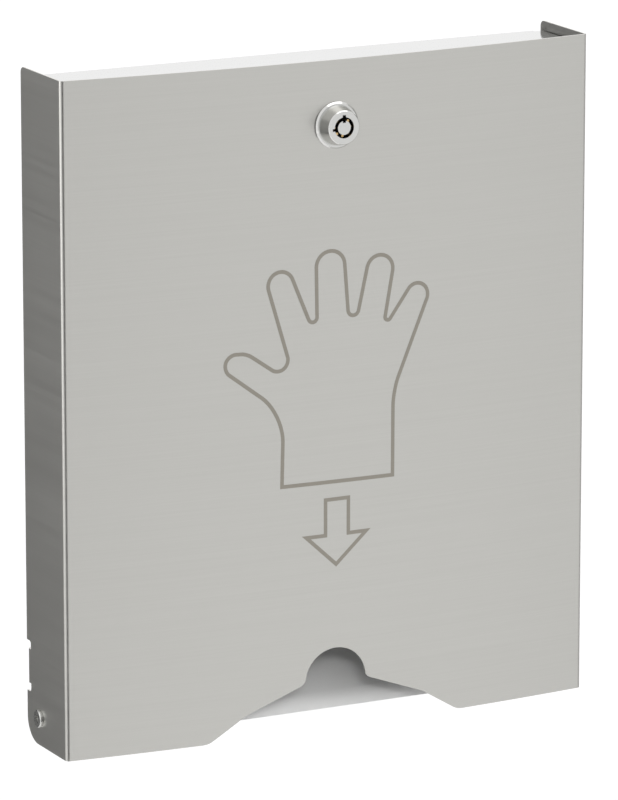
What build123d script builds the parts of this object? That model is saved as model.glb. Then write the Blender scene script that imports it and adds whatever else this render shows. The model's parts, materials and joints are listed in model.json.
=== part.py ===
from build123d import *
from math import cos, radians, sin, sqrt, tan
import os

os.makedirs("parts", exist_ok=True)

# A wall-hung dispenser for disposable gloves, in millimetres.
# X runs to the right, Y towards the wall and Z up. The origin is on the wall, at the centre of the
# four wall holes. A size named height is counted up from the lower edge of the cover.

# Cover: one folded sheet
cover_width = 281.5
cover_height = 330.0
flange_depth = 44.8
panel_bulge = 7.3
cover_sheet = 1.0
cover_bend_radius = 2.0
rear_gap = 0.8
upper_corner_radius = 3.0
lower_corner_radius = 12.0

# Stop tab bent inwards on each rear edge of the cover
tab_height = 28.5
tab_length = 17.1
tab_reach = 11.0
tab_bend_radius = 2.8
relief_width = 4.1
relief_depth = 4.5
relief_radius = 1.5
opening_angle = 80.0

# Thumb notch in the lower edge of the front panel
notch_foot_half = 68.0
notch_shoulder_half = 48.0
notch_shoulder_height = 12.2
arch_radius = 16.5
arch_centre_height = 24.0
notch_foot_radius = 10.0
notch_shoulder_radius = 12.0
arch_foot_radius = 4.0

# Pivots
pivot_inset = 14.0
pivot_height = 13.5
pivot_shoulder_radius = 3.0
pivot_thread_radius = 2.0
pivot_head_radius = 4.4
pivot_head_thickness = 1.5
pivot_head_edge = 0.7
pivot_socket_width = 2.5
pivot_socket_depth = 0.9
pivot_washer_radius = 6.0
pivot_nut_width = 7.0
pivot_nut_thickness = 3.2
pivot_thread_end = 0.8

# Wall unit: one folded sheet
body_sheet = 1.2
body_bend_radius = 2.0
side_gap = 1.0
top_drop = 4.7
lip_length = 13.3
lip_side_gap = 0.6
top_seam = 0.3
corner_relief = 4.0
body_bottom_height = 4.0
window_top_height = 50.0
tab_side_clearance = 1.2
stop_clearance = 0.15
ear_panel_clearance = 1.5
ear_corner_radius = 12.0
wall_hole_radius = 2.75
wall_hole_spacing_x = 160.0
wall_hole_spacing_z = 160.0
wall_hole_centre_height = 180.0

# Guide plate: one folded sheet
guide_sheet = 1.0
guide_side_clearance = 1.0
guide_lip_setback = 18.0
guide_lip_height = 2.2
guide_lip_straight = 1.0
guide_lip_radius = 11.0
guide_slope = 50.0
guide_bend_radius = 4.0
guide_foot_length = 20.0

# Pegs that the glove pack hangs on, peg_drop below the upper edge of the cover
peg_radius = 2.5
peg_length = 28.0
peg_spacing = 100.0
peg_drop = 27.0
peg_base_radius = 4.5
peg_base_thickness = 1.0

# Lock: its axis lies lock_drop below the upper edge of the cover. Distances along the axis are counted
# from the outside of the panel, inwards positive.
lock_drop = 31.5
lock_stand_out = 8.3
bezel_face_radius = 8.3
bezel_base_radius = 9.8
bezel_edge = 0.4
base_ring_radius = 11.4
base_ring_thickness = 1.5
base_ring_edge = 0.8
barrel_radius = 9.25
barrel_flats = 16.5
barrel_length = 13.0
keyway_radius = 5.1
post_radius = 3.4
keyway_depth = 4.8
keyway_notch_width = 1.8
keyway_notch_radius = 6.2
keyway_notch_depth = 3.0
side_nick_width = 1.3
side_nick_angle = 188.0
post_notch_width = 1.6
post_notch_depth = 1.0
plug_shoulder_depth = 5.0
spindle_radius = 4.2
tang_width = 5.8
tang_recess = 0.15
pin_count = 7
pin_circle_radius = 4.25
pin_radius = 0.65
pin_length = 6.0
pin_below_face = 2.0
pin_travel = 1.5
pin_spring_room = 1.3
lock_washer_radius = 12.0
lock_washer_thickness = 0.6
lock_nut_width = 22.0
lock_nut_thickness = 3.5
stop_tooth_angle = 30.0
stop_tooth_direction = -90.0
stop_tooth_inner_radius = 6.4
stop_tooth_outer_radius = 8.2
stop_washer_inner_radius = 6.2
stop_washer_thickness = 1.0
cam_turn = 90.0
cam_thickness = 2.0
cam_reach = 22.5
cam_width = 12.0
cam_hub_radius = 7.5
cam_corner_radius = 2.0
cam_washer_radius = 4.5
cam_washer_thickness = 0.8
cam_screw_radius = 1.5
cam_screw_length = 6.0
cam_screw_room = 0.8
cam_screw_head_radius = 3.1
cam_screw_head_thickness = 2.0
cam_screw_slot_width = 0.8
cam_screw_slot_depth = 0.9

# Clearances shared by the fits
running_clearance = 0.05
thread_clearance = 0.02
pin_clearance = 0.05
lock_hole_clearance = 0.2
seat_clearance = 0.02
lip_cam_gap = 0.3
stop_angle_clearance = 2.0

# Cuts run past the metal by this much, and points this near to each other are taken as one
trim = 5.0
near = 1e-3

# Places worked out from the sizes
half_width = cover_width / 2
bottom = -wall_hole_centre_height
top = bottom + cover_height
cover_rear = -rear_gap
front_plane = cover_rear - flange_depth
panel_front = front_plane - panel_bulge
panel_radius = (half_width**2 + panel_bulge**2) / (2 * panel_bulge)
panel_inner_radius = panel_radius - cover_sheet
wall_side = half_width - cover_sheet - side_gap
body_front_face = -body_sheet
body_top = top - top_drop
pivot_y = cover_rear - pivot_inset
pivot_z = bottom + pivot_height
lock_z = top - lock_drop
peg_z = top - peg_drop
tab_z = bottom + tab_height
tab_inner_side = half_width - tab_reach
window_side = tab_inner_side - tab_side_clearance
guide_half_width = window_side - guide_side_clearance


def edges_along_x(piece, y):
    return piece.edges().filter_by(Axis.X).filter_by_position(Axis.Y, y - near, y + near)


# Cover
with BuildPart() as cover:
    with BuildSketch(Plane.XY.offset(bottom - trim)) as cover_section:
        with BuildLine():
            ThreePointArc((-half_width, front_plane), (0, panel_front), (half_width, front_plane))
            Polyline(
                (half_width, front_plane),
                (half_width, cover_rear + cover_sheet),
                (-half_width, cover_rear + cover_sheet),
                (-half_width, front_plane),
            )
        make_face()
        fillet(cover_section.vertices().group_by(Axis.Y)[0], cover_bend_radius)
        offset(amount=-cover_sheet, kind=Kind.INTERSECTION, mode=Mode.SUBTRACT)
        with Locations((0, cover_rear)):
            Rectangle(
                cover_width + trim,
                cover_sheet + trim,
                align=(Align.CENTER, Align.MIN),
                mode=Mode.SUBTRACT,
            )
    extrude(amount=cover_height + trim)

    # The lower edge, with the wide step and the arch of the thumb notch
    with BuildSketch(Plane.XZ.offset(-cover_rear - trim)) as lower_edge:
        with BuildLine():
            Polyline(
                (arch_radius, bottom + arch_centre_height),
                (notch_shoulder_half, bottom + notch_shoulder_height),
                (notch_foot_half, bottom),
                (half_width + trim, bottom),
                (half_width + trim, bottom - 2 * trim),
                (-half_width - trim, bottom - 2 * trim),
                (-half_width - trim, bottom),
                (-notch_foot_half, bottom),
                (-notch_shoulder_half, bottom + notch_shoulder_height),
                (-arch_radius, bottom + arch_centre_height),
            )
            ThreePointArc(
                (-arch_radius, bottom + arch_centre_height),
                (0, bottom + arch_centre_height + arch_radius),
                (arch_radius, bottom + arch_centre_height),
            )
        make_face()
        for half, radius in (
            (notch_foot_half, notch_foot_radius),
            (notch_shoulder_half, notch_shoulder_radius),
            (arch_radius, arch_foot_radius),
        ):
            fillet(lower_edge.vertices().filter_by(lambda v: abs(abs(v.X) - half) < near), radius)
    extrude(amount=-cover_rear + flange_depth + panel_bulge + 3 * trim, mode=Mode.SUBTRACT)

    # Rounded rear corners of both flanges
    for corner, radius in ((0, lower_corner_radius), (-1, upper_corner_radius)):
        rear_edges = edges_along_x(cover, cover_rear)
        fillet(rear_edges.group_by(Axis.Z)[corner], radius)

    # Reliefs above and below each stop tab
    with BuildSketch(Plane.YZ.offset(-half_width - trim)) as tab_gap:
        with Locations((cover_rear, tab_z + tab_length / 2)):
            Rectangle(2 * relief_depth, tab_length + 2 * relief_width)
        fillet(tab_gap.vertices(), relief_radius)
    extrude(amount=cover_width + 2 * trim, mode=Mode.SUBTRACT)

    # Stop tabs
    for side in (-1, 1):
        with BuildSketch(Plane.XY.offset(tab_z)) as tab_section:
            with BuildLine():
                Polyline(
                    (side * half_width, cover_rear - relief_depth - cover_sheet),
                    (side * half_width, cover_rear),
                    (side * tab_inner_side, cover_rear),
                    (side * tab_inner_side, cover_rear - cover_sheet),
                    (side * (half_width - cover_sheet), cover_rear - cover_sheet),
                    (side * (half_width - cover_sheet), cover_rear - relief_depth - cover_sheet),
                    close=True,
                )
            make_face()
            outer_bend = tab_section.vertices().sort_by_distance((side * half_width, cover_rear))[0]
            fillet(outer_bend, tab_bend_radius)
            inner_bend = tab_section.vertices().sort_by_distance(
                (side * (half_width - cover_sheet), cover_rear - cover_sheet)
            )[0]
            fillet(inner_bend, tab_bend_radius - cover_sheet)
        extrude(amount=tab_length)

    # Holes for the pivots and the flat-sided lock barrel
    with BuildSketch(Plane.YZ.offset(-half_width - trim)):
        with Locations((pivot_y, pivot_z)):
            Circle(pivot_shoulder_radius + running_clearance)
    extrude(amount=cover_width + 2 * trim, mode=Mode.SUBTRACT)
    with BuildSketch(Plane.XZ.offset(-front_plane - 2 * cover_sheet)):
        with Locations((0, lock_z)):
            Circle(barrel_radius + lock_hole_clearance)
            Rectangle(barrel_flats + 2 * lock_hole_clearance, 4 * barrel_radius, mode=Mode.INTERSECT)
    extrude(amount=panel_bulge + 4 * cover_sheet, mode=Mode.SUBTRACT)

cover.part.label = "cover"
export_step(cover.part, "parts/cover.step")


# Wall unit
lip_front_from_panel = barrel_length + seat_clearance + stop_washer_thickness - lip_cam_gap - body_sheet
lip_front = panel_front + lip_front_from_panel
side_wall_front = lip_front + body_sheet + lip_side_gap
ear_front = front_plane + cover_sheet + ear_panel_clearance

# The fully opened cover rests on the ears with its stop tabs. The ears' upper edges slope to meet them.
# The inside of a tab's bend comes nearer to the ear than its flat, by tab_bend_rise.
stop_slope = tan(radians(90 - opening_angle))
tab_corner_back = pivot_inset - cover_sheet
tab_corner_up = tab_height - pivot_height
tab_stop_forward = tab_corner_up * sin(radians(opening_angle)) - tab_corner_back * cos(radians(opening_angle))
tab_stop_up = tab_corner_up * cos(radians(opening_angle)) + tab_corner_back * sin(radians(opening_angle))
tab_inner_bend = tab_bend_radius - cover_sheet
tab_bend_inset = max(tab_inner_bend - side_gap, 0)
tab_bend_rise = tab_inner_bend - sqrt(tab_inner_bend**2 - tab_bend_inset**2)
stop_drop = (stop_clearance + tab_bend_rise) / cos(radians(90 - opening_angle))
ear_top_at_pivot = tab_stop_up - tab_stop_forward * stop_slope - stop_drop


def ear_top(y):
    return pivot_z + ear_top_at_pivot + (pivot_y - y) * stop_slope


with BuildPart() as wall_body:
    # Back plate and side walls
    with BuildSketch(Plane.XY.offset(bottom + body_bottom_height)) as body_section:
        with BuildLine():
            Polyline(
                (-wall_side, ear_front - body_sheet),
                (-wall_side, 0),
                (wall_side, 0),
                (wall_side, ear_front - body_sheet),
                close=True,
            )
        make_face()
        fillet(body_section.vertices().group_by(Axis.Y)[-1], body_bend_radius)
        offset(amount=-body_sheet, kind=Kind.INTERSECTION, mode=Mode.SUBTRACT)
        with Locations((0, ear_front)):
            Rectangle(
                2 * wall_side + trim,
                body_sheet + trim,
                align=(Align.CENTER, Align.MAX),
                mode=Mode.SUBTRACT,
            )
    extrude(amount=body_top - body_sheet - top_seam - bottom - body_bottom_height)

    # The side walls stand behind the catch lip
    with BuildSketch(Plane.YZ.offset(-wall_side - trim)):
        with Locations((side_wall_front, bottom + window_top_height)):
            Rectangle(
                side_wall_front - ear_front + trim,
                body_top - bottom - window_top_height + trim,
                align=(Align.MAX, Align.MIN),
            )
    extrude(amount=2 * (wall_side + trim), mode=Mode.SUBTRACT)

    # Windows that the stop tabs sweep through, down to the sloping edges of the ears
    for side in (-1, 1):
        with BuildSketch(Plane.YZ.offset(side * window_side)):
            with BuildLine():
                Polyline(
                    (trim, ear_top(trim)),
                    (trim, bottom + window_top_height),
                    (ear_front - trim, bottom + window_top_height),
                    (ear_front - trim, ear_top(ear_front - trim)),
                    close=True,
                )
            make_face()
        extrude(amount=side * (wall_side - window_side + trim), mode=Mode.SUBTRACT)
    fillet(edges_along_x(wall_body, ear_front).group_by(Axis.Z)[0], ear_corner_radius)

    # Top face and catch lip
    with BuildSketch(Plane.YZ.offset(-wall_side)) as top_section:
        with BuildLine():
            FilletPolyline(
                (0, body_top - 2 * body_bend_radius - corner_relief),
                (0, body_top),
                (lip_front, body_top),
                (lip_front, body_top - lip_length),
                radius=body_bend_radius,
            )
            FilletPolyline(
                (-body_sheet, body_top - 2 * body_bend_radius - corner_relief),
                (-body_sheet, body_top - body_sheet),
                (lip_front + body_sheet, body_top - body_sheet),
                (lip_front + body_sheet, body_top - lip_length),
                radius=body_bend_radius - body_sheet,
            )
            Line(
                (0, body_top - 2 * body_bend_radius - corner_relief),
                (-body_sheet, body_top - 2 * body_bend_radius - corner_relief),
            )
            Line((lip_front, body_top - lip_length), (lip_front + body_sheet, body_top - lip_length))
        make_face()
    extrude(amount=2 * wall_side)

    # Corner reliefs where the side bends meet the top bend
    for side in (-1, 1):
        with BuildSketch(Plane.XY.offset(body_top + trim)):
            with Locations((side * (wall_side - corner_relief), -corner_relief)):
                Rectangle(
                    corner_relief + trim,
                    corner_relief + trim,
                    align=(Align.MIN if side > 0 else Align.MAX, Align.MIN),
                )
        extrude(amount=-corner_relief - trim, mode=Mode.SUBTRACT)

    # Wall holes and pivot holes
    with BuildSketch(Plane.XZ.offset(-trim)):
        with GridLocations(wall_hole_spacing_x, wall_hole_spacing_z, 2, 2):
            Circle(wall_hole_radius)
    extrude(amount=2 * trim, mode=Mode.SUBTRACT)
    with BuildSketch(Plane.YZ.offset(-wall_side - trim)):
        with Locations((pivot_y, pivot_z)):
            Circle(pivot_thread_radius + running_clearance)
    extrude(amount=2 * (wall_side + trim), mode=Mode.SUBTRACT)

wall_body.part.label = "wall_body"
export_step(wall_body.part, "parts/wall_body.step")


# Guide plate: a foot on the back plate, a slope and a rolled lip
guide_lip_y = front_plane + guide_lip_setback
guide_lip_z = bottom + guide_lip_height
guide_turn = (90 - guide_slope) / 2
guide_corner_z = guide_lip_z + guide_lip_straight + guide_lip_radius * tan(radians(guide_turn))
guide_foot_y = body_front_face - guide_sheet
guide_foot_z = guide_corner_z + (guide_foot_y - guide_lip_y) * tan(radians(guide_slope))
with BuildPart() as guide_plate:
    with BuildSketch(Plane.YZ.offset(-guide_half_width)) as guide_section:
        with BuildLine() as guide_front_line:
            FilletPolyline(
                (guide_lip_y, guide_lip_z),
                (guide_lip_y, guide_corner_z),
                (guide_foot_y, guide_foot_z),
                (guide_foot_y, guide_foot_z + guide_foot_length),
                radius=(guide_lip_radius, guide_bend_radius),
            )
            offset(amount=guide_sheet, side=Side.RIGHT)
        make_face()
    extrude(amount=2 * guide_half_width)
guide_plate.part.label = "guide_plate"
export_step(guide_plate.part, "parts/guide_plate.step")


# Pegs for the glove pack
for side, name in ((-1, "left"), (1, "right")):
    with BuildPart() as glove_peg:
        with BuildSketch(Plane.XY.offset(peg_z)) as peg_section:
            with BuildLine():
                Polyline(
                    (side * peg_spacing / 2, body_front_face),
                    (side * peg_spacing / 2 + peg_base_radius, body_front_face),
                    (side * peg_spacing / 2 + peg_base_radius, body_front_face - peg_base_thickness),
                    (side * peg_spacing / 2 + peg_radius, body_front_face - peg_base_thickness),
                    (side * peg_spacing / 2 + peg_radius, body_front_face - peg_length + peg_radius),
                )
                RadiusArc(
                    (side * peg_spacing / 2 + peg_radius, body_front_face - peg_length + peg_radius),
                    (side * peg_spacing / 2, body_front_face - peg_length),
                    peg_radius,
                )
                Line(
                    (side * peg_spacing / 2, body_front_face - peg_length),
                    (side * peg_spacing / 2, body_front_face),
                )
            make_face()
        revolve(axis=Axis((side * peg_spacing / 2, 0, peg_z), (0, 1, 0)))
    glove_peg.part.label = name + "_glove_peg"
    export_step(glove_peg.part, "parts/" + name + "_glove_peg.step")


# Pivots: a shoulder screw through the flange, a washer, and a nut inside the ear
pivot_head_seat = half_width + running_clearance
pivot_nut_seat = wall_side - body_sheet
for side, name in ((-1, "left"), (1, "right")):
    with BuildPart() as pivot_screw:
        with BuildSketch(Plane.YZ.offset(side * pivot_head_seat)):
            with Locations((pivot_y, pivot_z)):
                Circle(pivot_head_radius)
        extrude(amount=side * pivot_head_thickness)
        fillet(pivot_screw.edges().sort_by(Axis.X)[-1 if side > 0 else 0], pivot_head_edge)
        with BuildSketch(Plane.YZ.offset(side * (pivot_head_seat + pivot_head_thickness))):
            with Locations((pivot_y, pivot_z)):
                RegularPolygon(pivot_socket_width / 2, 6, major_radius=False)
        extrude(amount=-side * pivot_socket_depth, mode=Mode.SUBTRACT)
        with BuildSketch(Plane.YZ.offset(side * pivot_head_seat)):
            with Locations((pivot_y, pivot_z)):
                Circle(pivot_shoulder_radius)
        extrude(amount=-side * (pivot_head_seat - wall_side))
        with BuildSketch(Plane.YZ.offset(side * wall_side)):
            with Locations((pivot_y, pivot_z)):
                Circle(pivot_thread_radius)
        extrude(amount=-side * (body_sheet + pivot_nut_thickness + pivot_thread_end))
    pivot_screw.part.label = name + "_pivot_screw"
    export_step(pivot_screw.part, "parts/" + name + "_pivot_screw.step")

    with BuildPart() as pivot_washer:
        with BuildSketch(Plane.YZ.offset(side * (wall_side + running_clearance))):
            with Locations((pivot_y, pivot_z)):
                Circle(pivot_washer_radius)
                Circle(pivot_shoulder_radius + running_clearance, mode=Mode.SUBTRACT)
        extrude(amount=side * (side_gap - 2 * running_clearance))
    pivot_washer.part.label = name + "_pivot_washer"
    export_step(pivot_washer.part, "parts/" + name + "_pivot_washer.step")

    with BuildPart() as pivot_nut:
        with BuildSketch(Plane.YZ.offset(side * pivot_nut_seat)):
            with Locations((pivot_y, pivot_z)):
                RegularPolygon(pivot_nut_width / 2, 6, major_radius=False)
                Circle(pivot_thread_radius + thread_clearance, mode=Mode.SUBTRACT)
        extrude(amount=-side * pivot_nut_thickness)
    pivot_nut.part.label = name + "_pivot_nut"
    export_step(pivot_nut.part, "parts/" + name + "_pivot_nut.step")


# Lock. Its pieces are drawn on planes across the lock axis, so x and y below are to the right and up.
def lock_plane(distance):
    return Plane(origin=(0, panel_front + distance, lock_z), x_dir=(1, 0, 0), z_dir=(0, -1, 0))


lock_axis = Axis((0, panel_front, lock_z), (0, 1, 0))
lock_face = panel_front - lock_stand_out
barrel_end = panel_front + barrel_length
plug_shoulder = panel_front + plug_shoulder_depth
carrier_front = lock_face + keyway_depth
carrier_radius = keyway_radius - running_clearance
tang_hole_width = tang_width + 2 * running_clearance

with BuildPart() as lock_housing:
    with BuildSketch(Plane.XY.offset(lock_z)) as housing_section:
        with BuildLine():
            Polyline(
                (keyway_radius, lock_face),
                (bezel_face_radius - bezel_edge, lock_face),
                (bezel_face_radius, lock_face + bezel_edge),
                (bezel_base_radius, panel_front - base_ring_thickness),
                (base_ring_radius - base_ring_edge, panel_front - base_ring_thickness),
                (base_ring_radius, panel_front - base_ring_thickness + base_ring_edge),
                (base_ring_radius, panel_front),
                (barrel_radius, panel_front),
                (barrel_radius, barrel_end),
                (spindle_radius + running_clearance, barrel_end),
                (spindle_radius + running_clearance, plug_shoulder + running_clearance),
                (keyway_radius, plug_shoulder + running_clearance),
                close=True,
            )
        make_face()
    revolve(axis=lock_axis)
    for side in (-1, 1):
        with BuildSketch(lock_plane(0)):
            with Locations((side * barrel_flats / 2, 0)):
                Rectangle(
                    barrel_radius,
                    2 * barrel_radius,
                    align=(Align.MIN if side > 0 else Align.MAX, Align.CENTER),
                )
        extrude(amount=-barrel_length, mode=Mode.SUBTRACT)
    with BuildSketch(lock_plane(-lock_stand_out)):
        Rectangle(keyway_notch_width, keyway_notch_radius, align=(Align.CENTER, Align.MIN))
        with Locations(Location((0, 0), side_nick_angle)):
            Rectangle(keyway_notch_radius, side_nick_width, align=(Align.MIN, Align.CENTER))
    extrude(amount=-keyway_notch_depth, mode=Mode.SUBTRACT)
    with BuildSketch(lock_plane(barrel_length)) as tooth_section:
        Circle(stop_tooth_outer_radius)
        Circle(stop_tooth_inner_radius, mode=Mode.SUBTRACT)
        with Locations(Location((0, 0), stop_tooth_direction)):
            Polygon(
                (0, 0),
                (2 * barrel_radius, -2 * barrel_radius * tan(radians(stop_tooth_angle / 2))),
                (2 * barrel_radius, 2 * barrel_radius * tan(radians(stop_tooth_angle / 2))),
                align=None,
                mode=Mode.INTERSECT,
            )
    extrude(amount=-stop_washer_thickness)
lock_housing.part.label = "lock_housing"
export_step(lock_housing.part, "parts/lock_housing.step")

tang_end = barrel_length + seat_clearance + stop_washer_thickness + cam_thickness - tang_recess
with BuildPart() as lock_plug:
    with BuildSketch(Plane.XY.offset(lock_z)) as plug_section:
        with BuildLine():
            Polyline(
                (0, lock_face),
                (post_radius, lock_face),
                (post_radius, carrier_front),
                (carrier_radius, carrier_front),
                (carrier_radius, plug_shoulder),
                (spindle_radius, plug_shoulder),
                (spindle_radius, barrel_end + seat_clearance),
                (0, barrel_end + seat_clearance),
                close=True,
            )
        make_face()
    revolve(axis=lock_axis)
    with BuildSketch(lock_plane(barrel_length)):
        Rectangle(tang_width, tang_width)
    extrude(amount=-(tang_end - barrel_length))
    with BuildSketch(lock_plane(-lock_stand_out)):
        with Locations((0, post_radius - post_notch_depth)):
            Rectangle(post_notch_width, 2 * post_notch_depth, align=(Align.CENTER, Align.MIN))
    extrude(amount=-keyway_depth, mode=Mode.SUBTRACT)
    pin_step = 360 / (pin_count + 1)
    with BuildSketch(lock_plane(-lock_stand_out + keyway_depth)):
        for number in range(1, pin_count + 1):
            with PolarLocations(pin_circle_radius, 1, start_angle=90 + number * pin_step):
                Circle(pin_radius + pin_clearance)
    extrude(
        amount=-(pin_below_face + pin_length + pin_travel + pin_spring_room - keyway_depth),
        mode=Mode.SUBTRACT,
    )
    with BuildSketch(lock_plane(tang_end)):
        Circle(cam_screw_radius + thread_clearance)
    extrude(amount=cam_screw_length + cam_screw_room - tang_recess - cam_washer_thickness, mode=Mode.SUBTRACT)
lock_plug.part.label = "lock_plug"
export_step(lock_plug.part, "parts/lock_plug.step")

for number in range(1, pin_count + 1):
    with BuildPart() as lock_pin:
        with BuildSketch(lock_plane(-lock_stand_out + pin_below_face)):
            with PolarLocations(pin_circle_radius, 1, start_angle=90 + number * pin_step):
                Circle(pin_radius)
        extrude(amount=-pin_length)
    lock_pin.part.label = "lock_pin_" + str(number)
    export_step(lock_pin.part, "parts/lock_pin_" + str(number) + ".step")

# The panel falls back from its crest, so what seats inside it stands off by that fall
washer_seat = cover_sheet + lock_washer_radius**2 / (2 * panel_inner_radius) + seat_clearance
with BuildPart() as lock_washer:
    with BuildSketch(lock_plane(washer_seat)):
        Circle(lock_washer_radius)
        Circle(barrel_radius + thread_clearance, mode=Mode.SUBTRACT)
    extrude(amount=-lock_washer_thickness)
lock_washer.part.label = "lock_washer"
export_step(lock_washer.part, "parts/lock_washer.step")

with BuildPart() as lock_nut:
    with BuildSketch(lock_plane(washer_seat + lock_washer_thickness)):
        RegularPolygon(lock_nut_width / 2, 6, major_radius=False)
        Circle(barrel_radius + thread_clearance, mode=Mode.SUBTRACT)
    extrude(amount=-lock_nut_thickness)
lock_nut.part.label = "lock_nut"
export_step(lock_nut.part, "parts/lock_nut.step")

# The stop washer turns with the plug, and the gap in its rim rides over the tooth of the housing
stop_gap_angle = cam_turn + stop_tooth_angle + 2 * stop_angle_clearance
stop_gap_centre = stop_tooth_direction - cam_turn / 2
stop_washer_seat = barrel_length + seat_clearance
with BuildPart() as stop_washer:
    with BuildSketch(lock_plane(stop_washer_seat)):
        Circle(stop_tooth_outer_radius)
        with Locations(Location((0, 0), stop_gap_centre)):
            Polygon(
                (0, 0),
                (2 * barrel_radius, -2 * barrel_radius * tan(radians(stop_gap_angle / 2))),
                (2 * barrel_radius, 2 * barrel_radius * tan(radians(stop_gap_angle / 2))),
                align=None,
                mode=Mode.SUBTRACT,
            )
        Circle(stop_washer_inner_radius)
        Rectangle(tang_hole_width, tang_hole_width, mode=Mode.SUBTRACT)
    extrude(amount=-stop_washer_thickness)
stop_washer.part.label = "stop_washer"
export_step(stop_washer.part, "parts/stop_washer.step")

# The cam is stored turned to the right, which is its open place
with BuildPart() as lock_cam:
    with BuildSketch(lock_plane(stop_washer_seat + stop_washer_thickness)) as cam_outline:
        Rectangle(cam_reach, cam_width, align=(Align.MIN, Align.CENTER))
        fillet(cam_outline.vertices().group_by(Axis.X)[-1], cam_corner_radius)
        Circle(cam_hub_radius)
        Rectangle(tang_hole_width, tang_hole_width, mode=Mode.SUBTRACT)
    extrude(amount=-cam_thickness)
lock_cam.part.label = "lock_cam"
export_step(lock_cam.part, "parts/lock_cam.step")

cam_washer_seat = stop_washer_seat + stop_washer_thickness + cam_thickness
with BuildPart() as cam_washer:
    with BuildSketch(lock_plane(cam_washer_seat)):
        Circle(cam_washer_radius)
        Circle(cam_screw_radius + running_clearance, mode=Mode.SUBTRACT)
    extrude(amount=-cam_washer_thickness)
cam_washer.part.label = "cam_washer"
export_step(cam_washer.part, "parts/cam_washer.step")

cam_screw_seat = cam_washer_seat + cam_washer_thickness
with BuildPart() as cam_screw:
    with BuildSketch(lock_plane(cam_screw_seat)):
        Circle(cam_screw_head_radius)
    extrude(amount=-cam_screw_head_thickness)
    with BuildSketch(lock_plane(cam_screw_seat)):
        Circle(cam_screw_radius)
    extrude(amount=cam_screw_length)
    with BuildSketch(lock_plane(cam_screw_seat + cam_screw_head_thickness)):
        Rectangle(2 * cam_screw_head_radius, cam_screw_slot_width)
        Rectangle(cam_screw_slot_width, 2 * cam_screw_head_radius)
    extrude(amount=cam_screw_slot_depth, mode=Mode.SUBTRACT)
cam_screw.part.label = "cam_screw"
export_step(cam_screw.part, "parts/cam_screw.step")
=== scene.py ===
import json
from math import cos, pi, radians, sin, sqrt

import bmesh
import bpy
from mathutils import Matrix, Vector


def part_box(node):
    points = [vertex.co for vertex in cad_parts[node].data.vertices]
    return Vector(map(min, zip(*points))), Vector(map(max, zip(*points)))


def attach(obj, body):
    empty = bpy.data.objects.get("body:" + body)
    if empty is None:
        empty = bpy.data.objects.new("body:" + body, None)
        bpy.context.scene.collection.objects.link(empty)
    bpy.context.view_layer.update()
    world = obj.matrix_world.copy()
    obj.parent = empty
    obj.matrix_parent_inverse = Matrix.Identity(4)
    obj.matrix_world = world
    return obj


# Wall dispenser for disposable gloves: brushed steel cover, bright wall unit, round key lock.
# Metres. X to the right, Y towards the wall, Z up, origin between the four wall holes.

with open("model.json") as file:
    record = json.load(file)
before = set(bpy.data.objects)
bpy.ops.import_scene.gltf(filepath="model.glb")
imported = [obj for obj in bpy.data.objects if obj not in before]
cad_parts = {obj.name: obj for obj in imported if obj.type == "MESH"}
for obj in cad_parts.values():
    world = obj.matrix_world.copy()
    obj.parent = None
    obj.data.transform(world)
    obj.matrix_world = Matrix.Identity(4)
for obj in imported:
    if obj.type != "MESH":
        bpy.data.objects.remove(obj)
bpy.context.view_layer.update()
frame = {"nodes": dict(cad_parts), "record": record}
nodes = frame["nodes"]
mm = 0.001
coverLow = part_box("cover")[0]
lockLow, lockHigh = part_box("lock_housing")
lockStandOut = 8.3 * mm  # from the crest of the panel to the face of the lock
print("frame loaded:", len(nodes), "nodes")


# Shader helpers

def addNode(tree, kind, **values):
    made = tree.nodes.new(kind)
    for name, value in values.items():
        setattr(made, name, value)
    return made


def wire(tree, source, target):
    tree.links.new(source, target)


def maths(tree, operation, first, second=None, third=None):
    made = addNode(tree, "ShaderNodeMath", operation=operation)
    for place, value in enumerate((first, second, third)):
        if value is None:
            continue
        if isinstance(value, (int, float)):
            made.inputs[place].default_value = value
        else:
            wire(tree, value, made.inputs[place])
    return made.outputs[0]


def stretched(tree, vector, amounts):
    made = addNode(tree, "ShaderNodeVectorMath", operation="MULTIPLY")
    wire(tree, vector, made.inputs[0])
    if isinstance(amounts, (tuple, list)):
        made.inputs[1].default_value = amounts
    else:
        wire(tree, amounts, made.inputs[1])
    return made.outputs[0]


def noise(tree, vector, scale, detail, rough):
    made = addNode(tree, "ShaderNodeTexNoise")
    wire(tree, vector, made.inputs["Vector"])
    made.inputs["Scale"].default_value = scale
    made.inputs["Detail"].default_value = detail
    made.inputs["Roughness"].default_value = rough
    return made.outputs[0]


def ranged(tree, value, low, high, newLow, newHigh):
    made = addNode(tree, "ShaderNodeMapRange")
    wire(tree, value, made.inputs["Value"])
    for name, amount in (("From Min", low), ("From Max", high), ("To Min", newLow), ("To Max", newHigh)):
        made.inputs[name].default_value = amount
    return made.outputs[0]


def blended(tree, factor, first, second):
    made = addNode(tree, "ShaderNodeMix", data_type="RGBA")
    wire(tree, factor, made.inputs[0])
    for place, value in ((6, first), (7, second)):  # the two colour sockets of a Mix node
        if isinstance(value, (tuple, list)):
            made.inputs[place].default_value = (*value, 1.0)
        else:
            wire(tree, value, made.inputs[place])
    return made.outputs[2]


def newGroup(name, inputs, outputs):
    group = bpy.data.node_groups.new(name, "ShaderNodeTree")
    for label, kind, value in inputs:
        made = group.interface.new_socket(name=label, in_out="INPUT", socket_type=kind)
        if value is not None:
            made.default_value = value
    for label in outputs:
        group.interface.new_socket(name=label, in_out="OUTPUT", socket_type=number)
    return group, addNode(group, "NodeGroupInput").outputs, addNode(group, "NodeGroupOutput").inputs


number, vector = "NodeSocketFloat", "NodeSocketVector"


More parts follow.
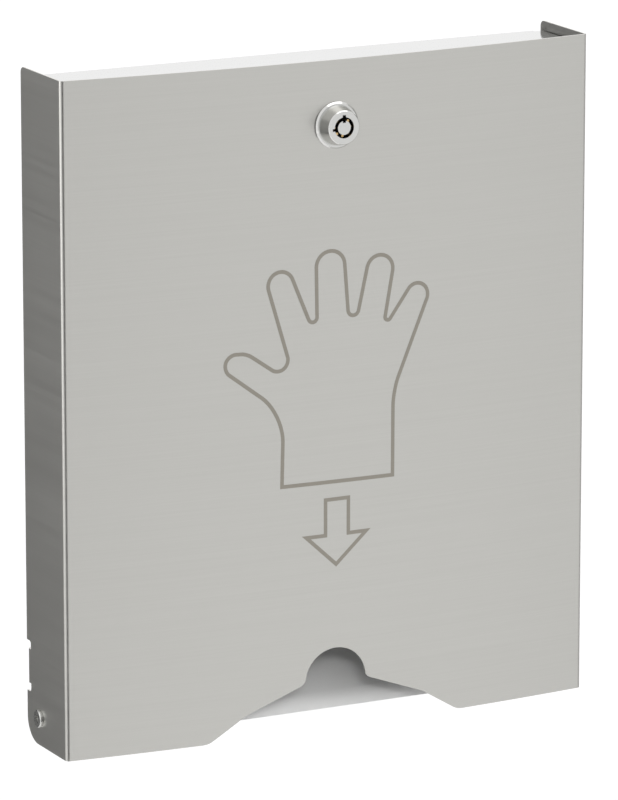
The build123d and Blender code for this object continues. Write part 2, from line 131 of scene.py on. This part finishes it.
# Grain of brushed or rolled sheet. It runs level round the whole sheet, so it is fine only along Z.
# Each noise has a scale, a detail and a roughness.

grainValues = {
    "fineNoise": (1.0, 5.0, 0.7),
    "bandNoise": (1.0, 3.0, 0.6),
    "cloudNoise": (16.0, 2.0, 0.5),
    "bandStretch": (5.0, 5.0, 150.0),
    "fineShare": 0.62,
    "bandShare": 0.26,
    "cloudShare": 0.12,
}


def makeSheetGrain():
    v = grainValues
    group, given, out = newGroup(
        "sheetGrain",
        [("Point", vector, None), ("Along", number, 9.0), ("Across", number, 1500.0), ("Depth", number, 0.5)],
        ["Tone", "Height"],
    )
    amounts = addNode(group, "ShaderNodeCombineXYZ")
    wire(group, given["Along"], amounts.inputs["X"])
    wire(group, given["Along"], amounts.inputs["Y"])
    wire(group, given["Across"], amounts.inputs["Z"])
    fine = noise(group, stretched(group, given["Point"], amounts.outputs[0]), *v["fineNoise"])
    bands = noise(group, stretched(group, given["Point"], v["bandStretch"]), *v["bandNoise"])
    clouds = noise(group, given["Point"], *v["cloudNoise"])
    bandPart = maths(group, "MULTIPLY", bands, v["bandShare"])
    lines = maths(group, "MULTIPLY_ADD", fine, v["fineShare"], bandPart)
    tone = maths(group, "MULTIPLY_ADD", clouds, v["cloudShare"], lines)
    shifted = maths(group, "MULTIPLY_ADD", maths(group, "SUBTRACT", tone, 0.5), given["Depth"], 0.5)
    wire(group, shifted, out["Tone"])
    wire(group, fine, out["Height"])
    return group


# Faces cut across a sheet, told from the sheet's own faces by how far they look up or down.

cutValues = {
    "sheetUp": 0.08,
    "edgeUp": 0.25,
}


def makeCutFace():
    v = cutValues
    group, given, out = newGroup("cutFace", [("Facing", vector, None)], ["Mask"])
    parts = addNode(group, "ShaderNodeSeparateXYZ")
    wire(group, given["Facing"], parts.inputs[0])
    upright = maths(group, "ABSOLUTE", parts.outputs["Z"])
    wire(group, ranged(group, upright, v["sheetUp"], v["edgeUp"], 0.0, 1.0), out["Mask"])
    return group


# Rings left by turning, round an axis along Y through Centre.

def makeTurnedRings():
    group, given, out = newGroup(
        "turnedRings",
        [("Point", vector, None), ("Centre", vector, None), ("Pitch", number, 9000.0)],
        ["Rings", "Radius", "Inward"],
    )
    offset = addNode(group, "ShaderNodeVectorMath", operation="SUBTRACT")
    wire(group, given["Point"], offset.inputs[0])
    wire(group, given["Centre"], offset.inputs[1])
    parts = addNode(group, "ShaderNodeSeparateXYZ")
    wire(group, offset.outputs[0], parts.inputs[0])
    flat = addNode(group, "ShaderNodeCombineXYZ")
    wire(group, parts.outputs["X"], flat.inputs["X"])
    wire(group, parts.outputs["Z"], flat.inputs["Y"])
    length = addNode(group, "ShaderNodeVectorMath", operation="LENGTH")
    wire(group, flat.outputs[0], length.inputs[0])
    line = addNode(group, "ShaderNodeCombineXYZ")
    wire(group, maths(group, "MULTIPLY", length.outputs["Value"], given["Pitch"]), line.inputs["X"])
    wire(group, noise(group, line.outputs[0], 1.0, 2.0, 0.6), out["Rings"])
    wire(group, length.outputs["Value"], out["Radius"])
    wire(group, parts.outputs["Y"], out["Inward"])
    return group


# A screw thread's ridges, on the part of the piece between two places along its axis.

def makeThreadRidges():
    group, given, out = newGroup(
        "threadRidges",
        [("Place", number, 0.0), ("Start", number, 0.0), ("End", number, 1.0), ("Pitch", number, 0.001)],
        ["Height"],
    )
    turns = maths(group, "DIVIDE", given["Place"], given["Pitch"])
    ridge = maths(group, "PINGPONG", turns, 0.5)
    after = maths(group, "GREATER_THAN", given["Place"], given["Start"])
    before = maths(group, "LESS_THAN", given["Place"], given["End"])
    wire(group, maths(group, "MULTIPLY", ridge, maths(group, "MULTIPLY", after, before)), out["Height"])
    return group


groups = {
    "grain": makeSheetGrain(),
    "cut": makeCutFace(),
    "rings": makeTurnedRings(),
    "thread": makeThreadRidges(),
}


def useGroup(tree, name, **values):
    made = addNode(tree, "ShaderNodeGroup", node_tree=groups[name])
    for label, value in values.items():
        if isinstance(value, (int, float, tuple, Vector)):
            made.inputs[label].default_value = value
        else:
            wire(tree, value, made.inputs[label])
    return made.outputs


def newMaterial(name, metallic, **fixed):
    material = bpy.data.materials.new(name)
    material.use_nodes = True
    tree = material.node_tree
    shader = tree.nodes["Principled BSDF"]
    shader.inputs["Metallic"].default_value = metallic
    for label, value in fixed.items():
        shader.inputs[label.replace("_", " ")].default_value = value
    place = addNode(tree, "ShaderNodeTexCoord").outputs
    return material, tree, shader.inputs, place


def addBump(tree, inputs, height, strength, distance):
    made = addNode(tree, "ShaderNodeBump")
    made.inputs["Strength"].default_value = strength
    made.inputs["Distance"].default_value = distance
    wire(tree, height, made.inputs["Height"])
    wire(tree, made.outputs[0], inputs["Normal"])


def levelTangent(tree, inputs):
    made = addNode(tree, "ShaderNodeTangent", direction_type="RADIAL", axis="Z")
    wire(tree, made.outputs[0], inputs["Tangent"])


# Sheet finishes. The cover is satin sheet brushed level, with a painted highlight: paler colour on its cut
# edges.

coverFinish = {
    "dark": (0.475, 0.470, 0.446),
    "light": (0.570, 0.565, 0.540),
    "edge": (0.80, 0.79, 0.76),
    "rough": (0.27, 0.36),
    "anisotropy": 0.55,
    "metallic": 1.0,
    "across": 1500.0,
    "grainDepth": 1.1,
    "bump": 0.12,
}

# Wall unit: bright rolled sheet, close to a mirror

brightFinish = {
    "dark": (0.73, 0.73, 0.725),
    "light": (0.80, 0.80, 0.795),
    "rough": (0.09, 0.16),
    "anisotropy": 0.3,
    "metallic": 1.0,
    "across": 900.0,
    "grainDepth": 0.8,
    "bump": 0.05,
}

# Guide plate behind the thumb notch: painted light, a near-white matt face in place of its bright steel, so
# it shows bright in the shade

guidePaintedLightValues = {
    "dark": (0.88, 0.88, 0.87),
    "light": (0.96, 0.96, 0.955),
    "rough": (0.42, 0.52),
    "metallic": 0.0,
    "across": 900.0,
    "grainDepth": 0.8,
    "bump": 0.06,
}

# Etched sign: a darker, duller mark in the cover's steel

markFinish = {
    "dark": (0.285, 0.268, 0.232),
    "light": (0.345, 0.325, 0.285),
    "rough": (0.42, 0.52),
    "metallic": 1.0,
    "across": 1500.0,
    "grainDepth": 1.2,
    "bump": 0.2,
}

sheetBumpDepth = 0.02 * mm


def makeSheetFinish(name, v):
    material, tree, inputs, place = newMaterial(name, v["metallic"])
    grain = useGroup(tree, "grain", Point=place["Object"], Across=v["across"], Depth=v["grainDepth"])
    colour = blended(tree, grain["Tone"], v["dark"], v["light"])
    # Painted highlight: faces cut across the sheet get a paler colour that stands in for the light their
    # rounded edges catch
    if "edge" in v:
        cut = useGroup(tree, "cut", Facing=place["Normal"])["Mask"]
        colour = blended(tree, cut, colour, v["edge"])
    wire(tree, colour, inputs["Base Color"])
    wire(tree, ranged(tree, grain["Tone"], 0.2, 0.8, *v["rough"]), inputs["Roughness"])
    addBump(tree, inputs, grain["Height"], v["bump"], sheetBumpDepth)
    if "anisotropy" in v:
        inputs["Anisotropic"].default_value = v["anisotropy"]
        levelTangent(tree, inputs)
    return material


# Lock: polished plating, a satin turned face and a dull keyway painted near-black, partly greased unplated
# metal and partly painted shade in the deep slot

lockFinish = {
    "plating": (0.66, 0.66, 0.645),
    "face": (0.60, 0.60, 0.585),
    "faceShades": (0.9, 1.1),
    "keywayGreaseAndShade": (0.03, 0.028, 0.025),
    "platingRough": 0.06,
    "faceRough": 0.3,
    "keywayRough": 0.35,  # on top of the rest
    "keywayRadius": 5.15 * mm,
    "keywayStart": 0.25 * mm,
    "threadLength": 13.0 * mm,
    "threadPitch": 1.0 * mm,
    "threadDepth": 0.5 * mm,
    "bump": 0.6,
    "ringBump": 0.02,
}


def makeLockChrome():
    v = lockFinish
    material, tree, inputs, place = newMaterial("lockChrome", 1.0)
    front = Vector((0.0, lockLow.y, (lockLow.z + lockHigh.z) / 2))
    turned = useGroup(tree, "rings", Point=place["Object"], Centre=front)
    facing = addNode(tree, "ShaderNodeSeparateXYZ")
    wire(tree, place["Normal"], facing.inputs[0])
    isFace = ranged(tree, maths(tree, "MULTIPLY", facing.outputs["Y"], -1.0), 0.9, 0.97, 0.0, 1.0)
    darker, lighter = (tuple(shade * part for part in v["face"]) for shade in v["faceShades"])
    metal = blended(tree, isFace, v["plating"], blended(tree, turned["Rings"], darker, lighter))
    # The keyway slot below the face is coloured near-black: partly greased unplated metal, partly painted
    # shade in the deep slot
    within = maths(tree, "LESS_THAN", turned["Radius"], v["keywayRadius"])
    below = maths(tree, "GREATER_THAN", turned["Inward"], v["keywayStart"])
    keywayGreaseAndShade = maths(tree, "MULTIPLY", within, below)
    wire(tree, blended(tree, keywayGreaseAndShade, metal, v["keywayGreaseAndShade"]), inputs["Base Color"])
    rough = ranged(tree, isFace, 0.0, 1.0, v["platingRough"], v["faceRough"])
    wire(tree, maths(tree, "MULTIPLY_ADD", keywayGreaseAndShade, v["keywayRough"], rough), inputs["Roughness"])
    parts = addNode(tree, "ShaderNodeSeparateXYZ")
    wire(tree, place["Object"], parts.inputs[0])
    start = lockLow.y + lockStandOut
    end = start + v["threadLength"]
    thread = useGroup(tree, "thread", Place=parts.outputs["Y"], Start=start, End=end, Pitch=v["threadPitch"])
    height = maths(tree, "MULTIPLY_ADD", turned["Rings"], v["ringBump"], thread["Height"])
    addBump(tree, inputs, height, v["bump"], v["threadDepth"])
    return material


# Fasteners, pins and washers: a fine speckle. Its noise has a scale, a detail and a roughness.

fastenerFinish = {
    "speckle": (900.0, 4.0, 0.6),
    "dark": (0.50, 0.50, 0.48),
    "light": (0.68, 0.68, 0.66),
    "rough": (0.22, 0.34),
    "metallic": 1.0,
    "bump": 0.1,
    "bumpDepth": 0.03 * mm,
}

pinFinish = {
    "speckle": (2500.0, 3.0, 0.6),
    "dark": (0.50, 0.34, 0.15),
    "light": (0.78, 0.56, 0.28),
    "rough": (0.22, 0.4),
    "metallic": 1.0,
    "bump": 0.15,
    "bumpDepth": 0.02 * mm,
}

nylonFinish = {
    "speckle": (400.0, 3.0, 0.5),
    "dark": (0.74, 0.73, 0.69),
    "light": (0.86, 0.85, 0.82),
    "rough": (0.4, 0.55),
    "metallic": 0.0,
    "bump": 0.1,
    "bumpDepth": 0.02 * mm,
}


def makeSpeckled(name, v):
    material, tree, inputs, place = newMaterial(name, v["metallic"])
    speckle = noise(tree, place["Object"], *v["speckle"])
    wire(tree, blended(tree, speckle, v["dark"], v["light"]), inputs["Base Color"])
    wire(tree, ranged(tree, speckle, 0.3, 0.7, *v["rough"]), inputs["Roughness"])
    addBump(tree, inputs, speckle, v["bump"], v["bumpDepth"])
    return material


finishes = {
    "brushed_steel": makeSheetFinish("brushedSteel", coverFinish),
    "bright_steel": makeSheetFinish("brightSteel", brightFinish),
    "lock_chrome": makeLockChrome(),
    "fastener_steel": makeSpeckled("fastenerSteel", fastenerFinish),
    "pin_brass": makeSpeckled("pinBrass", pinFinish),
    "washer_nylon": makeSpeckled("washerNylon", nylonFinish),
}
# The guide plate takes the near-white painted-light face instead of the bright steel of its slot
guidePaintedLight = makeSheetFinish("guidePaintedLight", guidePaintedLightValues)
for row in frame["record"]["subparts"]:
    shown = nodes[row["node"]]
    finish = guidePaintedLight if row["node"] == "guide_plate" else finishes[row["material_slot"]]
    shown.data.materials.clear()
    shown.data.materials.append(finish)
print("finishes given:", len(finishes) + 1)


# Etched glove sign on the panel, drawn as closed outlines of even stroke. Each corner is given in
# millimetres across and up from the cover's lower edge, with the length that its rounding takes off
# each of its two sides.

signValues = {
    "stroke": 1.9,
    "proud": 0.03,
    "thickness": 0.02,
    "roundSegments": 10,
    "mergeGap": 0.25,
    "foldSpacing": 4.0,
    "panelRadius": 1360.5,
    "glove": [
        (-30.0, 123.1, 0),
        (-29.1, 160.0, 13.9),
        (-60.9, 183.9, 4.7),
        (-57.7, 192.8, 4.7),
        (-47.1, 192.4, 3.2),
        (-31.1, 181.2, 3.0),
        (-26.0, 184.8, 3.0),
        (-38.9, 227.9, 7.2),
        (-25.2, 232.7, 7.2),
        (-13.4, 204.3, 1.1),
        (-11.2, 204.7, 1.1),
        (-11.7, 238.1, 8.1),
        (4.9, 238.8, 8.1),
        (7.5, 205.9, 1.6),
        (10.8, 205.6, 1.6),
        (17.6, 235.4, 7.8),
        (33.0, 232.2, 7.8),
        (27.5, 201.8, 0.4),
        (28.4, 201.4, 0.4),
        (42.3, 220.2, 6.0),
        (52.9, 214.1, 6.0),
        (32.1, 165.1, 7.3),
        (31.9, 122.4, 0),
    ],
    "arrow": [
        (-6.6, 98.2, 0),
        (-6.6, 115.9, 0),
        (7.7, 115.9, 0),
        (7.7, 98.2, 0),
        (19.0, 98.2, 0),
        (0.1, 81.1, 0),
        (-18.4, 98.2, 0),
    ],
}


def makeSign(name, corners):
    v = signValues
    made = bmesh.new()
    verts = [made.verts.new((x * mm, 0.0, coverLow.z + z * mm)) for x, z, rounding in corners]
    sides = [made.edges.new(pair) for pair in zip(verts, verts[1:] + verts[:1])]
    bmesh.ops.contextual_create(made, geom=sides)
    for vert, (x, z, rounding) in zip(verts, corners):
        if rounding:
            bmesh.ops.bevel(
                made,
                geom=[vert],
                offset=rounding * mm,
                offset_type="OFFSET",
                affect="VERTICES",
                segments=v["roundSegments"],
                profile=0.5,
                material=-1,
            )
    bmesh.ops.remove_doubles(made, verts=made.verts, dist=v["mergeGap"] * mm)
    filled = made.faces[:]
    bmesh.ops.inset_region(
        made, faces=filled, thickness=v["stroke"] * mm, use_even_offset=True, use_boundary=True
    )
    bmesh.ops.delete(made, geom=filled, context="FACES")
    # Upright cuts let the flat stroke follow the curve of the panel
    reach = max(abs(x) for x, z, rounding in corners)
    folds = int(reach / v["foldSpacing"])
    for fold in range(-folds, folds + 1):
        everything = made.verts[:] + made.edges[:] + made.faces[:]
        place = (fold * v["foldSpacing"] * mm, 0.0, 0.0)
        bmesh.ops.bisect_plane(made, geom=everything, plane_co=place, plane_no=(1.0, 0.0, 0.0))
    radius = v["panelRadius"] * mm
    crest = lockLow.y + lockStandOut
    for vert in made.verts:
        vert.co.y = crest + radius - sqrt(radius**2 - vert.co.x**2) - v["proud"] * mm
    bmesh.ops.recalc_face_normals(made, faces=made.faces)
    if sum(face.normal.y for face in made.faces) > 0:
        bmesh.ops.reverse_faces(made, faces=made.faces)
    bmesh.ops.solidify(made, geom=made.faces, thickness=v["thickness"] * mm)
    mesh = bpy.data.meshes.new(name)
    made.to_mesh(mesh)
    made.free()
    mesh.materials.append(etchedMark)
    piece = bpy.data.objects.new(name, mesh)
    bpy.context.scene.collection.objects.link(piece)
    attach(piece, "cover_unit")


etchedMark = makeSheetFinish("etchedMark", markFinish)
makeSign("glove_sign", signValues["glove"])
makeSign("arrow_sign", signValues["arrow"])
print("signs etched")


# Camera: fitted to the corners and edges of the dispenser in a frame of 618 by 800 pixels

cameraValues = {
    "place": (-1.2911, -2.5615, 0.6595),
    "turn": 0.4707,
    "dip": 0.235,
    "focalPixels": 6035.4,
    "frameHeight": 800,
    "sensor": 36.0,
    "farthest": 60.0,
}


def addCamera():
    v = cameraValues
    lens = bpy.data.cameras.new("camera")
    lens.sensor_fit = "AUTO"
    lens.sensor_width = v["sensor"]
    lens.lens = v["focalPixels"] / v["frameHeight"] * v["sensor"]
    lens.clip_end = v["farthest"]
    seen = bpy.data.objects.new("camera", lens)
    seen.location = v["place"]
    seen.rotation_euler = (pi / 2 - v["dip"], 0.0, -v["turn"])
    bpy.context.scene.collection.objects.link(seen)
    bpy.context.scene.camera = seen


addCamera()


# Studio: white surroundings, a pale floor, soft boxes and grey cards that only reflections show.
# A direction is in degrees: turn from straight in front, to the right, and rise above level.

studioValues = {
    "white": 1.0,
    "diffuseLight": 0.9,
    "floorHeight": -1.35,
    "floorSize": 24.0,
    "floorColour": 0.86,
    "floorRough": 0.9,
    "floorGlow": 0.3,
    "cards": [
        # name, turn, rise, distance, width, height, tone
        ("backLeftCard", -163.0, -10.0, 2.0, 2.1, 2.4, 0.10),
        ("highBackCard", -146.0, 42.0, 2.2, 1.2, 0.9, 0.02),
        ("frontLeftCard", -32.0, -4.0, 2.4, 1.9, 2.4, 0.08),
        ("frontHighCard", 27.0, 16.0, 2.4, 2.0, 0.8, 0.70),
        ("rightCard", 74.0, -6.0, 2.4, 1.6, 2.2, 0.62),
        ("backRightCard", 122.0, -10.0, 2.2, 1.3, 1.6, 0.05),
    ],
    "lamps": [
        # name, turn, rise, distance, width, height, brightness, whether metal mirrors it
        ("topLamp", 40.0, 58.0, 2.0, 1.8, 1.4, 1.25, True),
        ("leftLamp", -105.0, 6.0, 2.2, 1.3, 1.5, 1.25, True),
        ("frontLamp", -27.0, 12.0, 2.6, 0.8, 0.8, 48.0, False),  # fills the shade behind the notch
    ],
}


def directed(turn, rise, distance):
    turn, rise = radians(turn), radians(rise)
    return distance * Vector((sin(turn) * cos(rise), -cos(turn) * cos(rise), sin(rise)))


def facingCentre(place):
    return (-place).to_track_quat("-Z", "Y").to_euler()


def flatSheet(name, width, height):
    made = bmesh.new()
    bmesh.ops.create_grid(made, x_segments=1, y_segments=1, size=0.5)
    bmesh.ops.scale(made, vec=(width, height, 1.0), verts=made.verts)
    mesh = bpy.data.meshes.new(name)
    made.to_mesh(mesh)
    made.free()
    sheet = bpy.data.objects.new(name, mesh)
    bpy.context.scene.collection.objects.link(sheet)
    return sheet


def seenDirectly(tree):
    light = addNode(tree, "ShaderNodeLightPath").outputs
    return maths(
        tree,
        "MAXIMUM",
        light["Is Camera Ray"],
        maths(tree, "MAXIMUM", light["Is Glossy Ray"], light["Is Transmission Ray"]),
    )


def makeSurroundings():
    v = studioValues
    world = bpy.data.worlds.new("surroundings")
    bpy.context.scene.world = world
    world.use_nodes = True
    tree = world.node_tree
    backing = tree.nodes["Background"]
    backing.inputs["Color"].default_value = (1.0, 1.0, 1.0, 1.0)
    strength = ranged(tree, seenDirectly(tree), 0.0, 1.0, v["diffuseLight"], v["white"])
    wire(tree, strength, backing.inputs["Strength"])


def makeFloor():
    v = studioValues
    floor = flatSheet("floor", v["floorSize"], v["floorSize"])
    floor.location.z = v["floorHeight"]
    made = newMaterial("paleFloor", 0.0, Roughness=v["floorRough"], Specular_IOR_Level=0.0)
    material, tree, inputs = made[:3]
    grey = v["floorColour"]
    inputs["Base Color"].default_value = (grey, grey, grey, 1.0)
    inputs["Emission Color"].default_value = (1.0, 1.0, 1.0, 1.0)
    wire(tree, maths(tree, "MULTIPLY", seenDirectly(tree), v["floorGlow"]), inputs["Emission Strength"])
    floor.data.materials.append(material)


def addCard(name, turn, rise, distance, width, height, tone):
    card = flatSheet(name, width, height)
    card.location = directed(turn, rise, distance)
    card.rotation_euler = facingCentre(card.location)
    card.visible_camera = False
    material = bpy.data.materials.new(name)
    material.use_nodes = True
    tree = material.node_tree
    tree.nodes.remove(tree.nodes["Principled BSDF"])
    glow = addNode(tree, "ShaderNodeEmission")
    glow.inputs["Color"].default_value = (tone, tone, tone, 1.0)
    wire(tree, glow.outputs[0], tree.nodes["Material Output"].inputs["Surface"])
    card.data.materials.append(material)


def addLamp(name, turn, rise, distance, width, height, brightness, mirrored):
    light = bpy.data.lights.new(name, "AREA")
    light.shape = "RECTANGLE"
    light.size, light.size_y = width, height
    light.energy = brightness * pi * width * height
    lamp = bpy.data.objects.new(name, light)
    lamp.location = directed(turn, rise, distance)
    lamp.rotation_euler = facingCentre(lamp.location)
    lamp.visible_camera = False
    lamp.visible_glossy = mirrored
    bpy.context.scene.collection.objects.link(lamp)


makeSurroundings()
makeFloor()
for card in studioValues["cards"]:
    addCard(*card)
for lamp in studioValues["lamps"]:
    addLamp(*lamp)
bpy.context.scene.view_settings.view_transform = "Standard"
print("studio built")
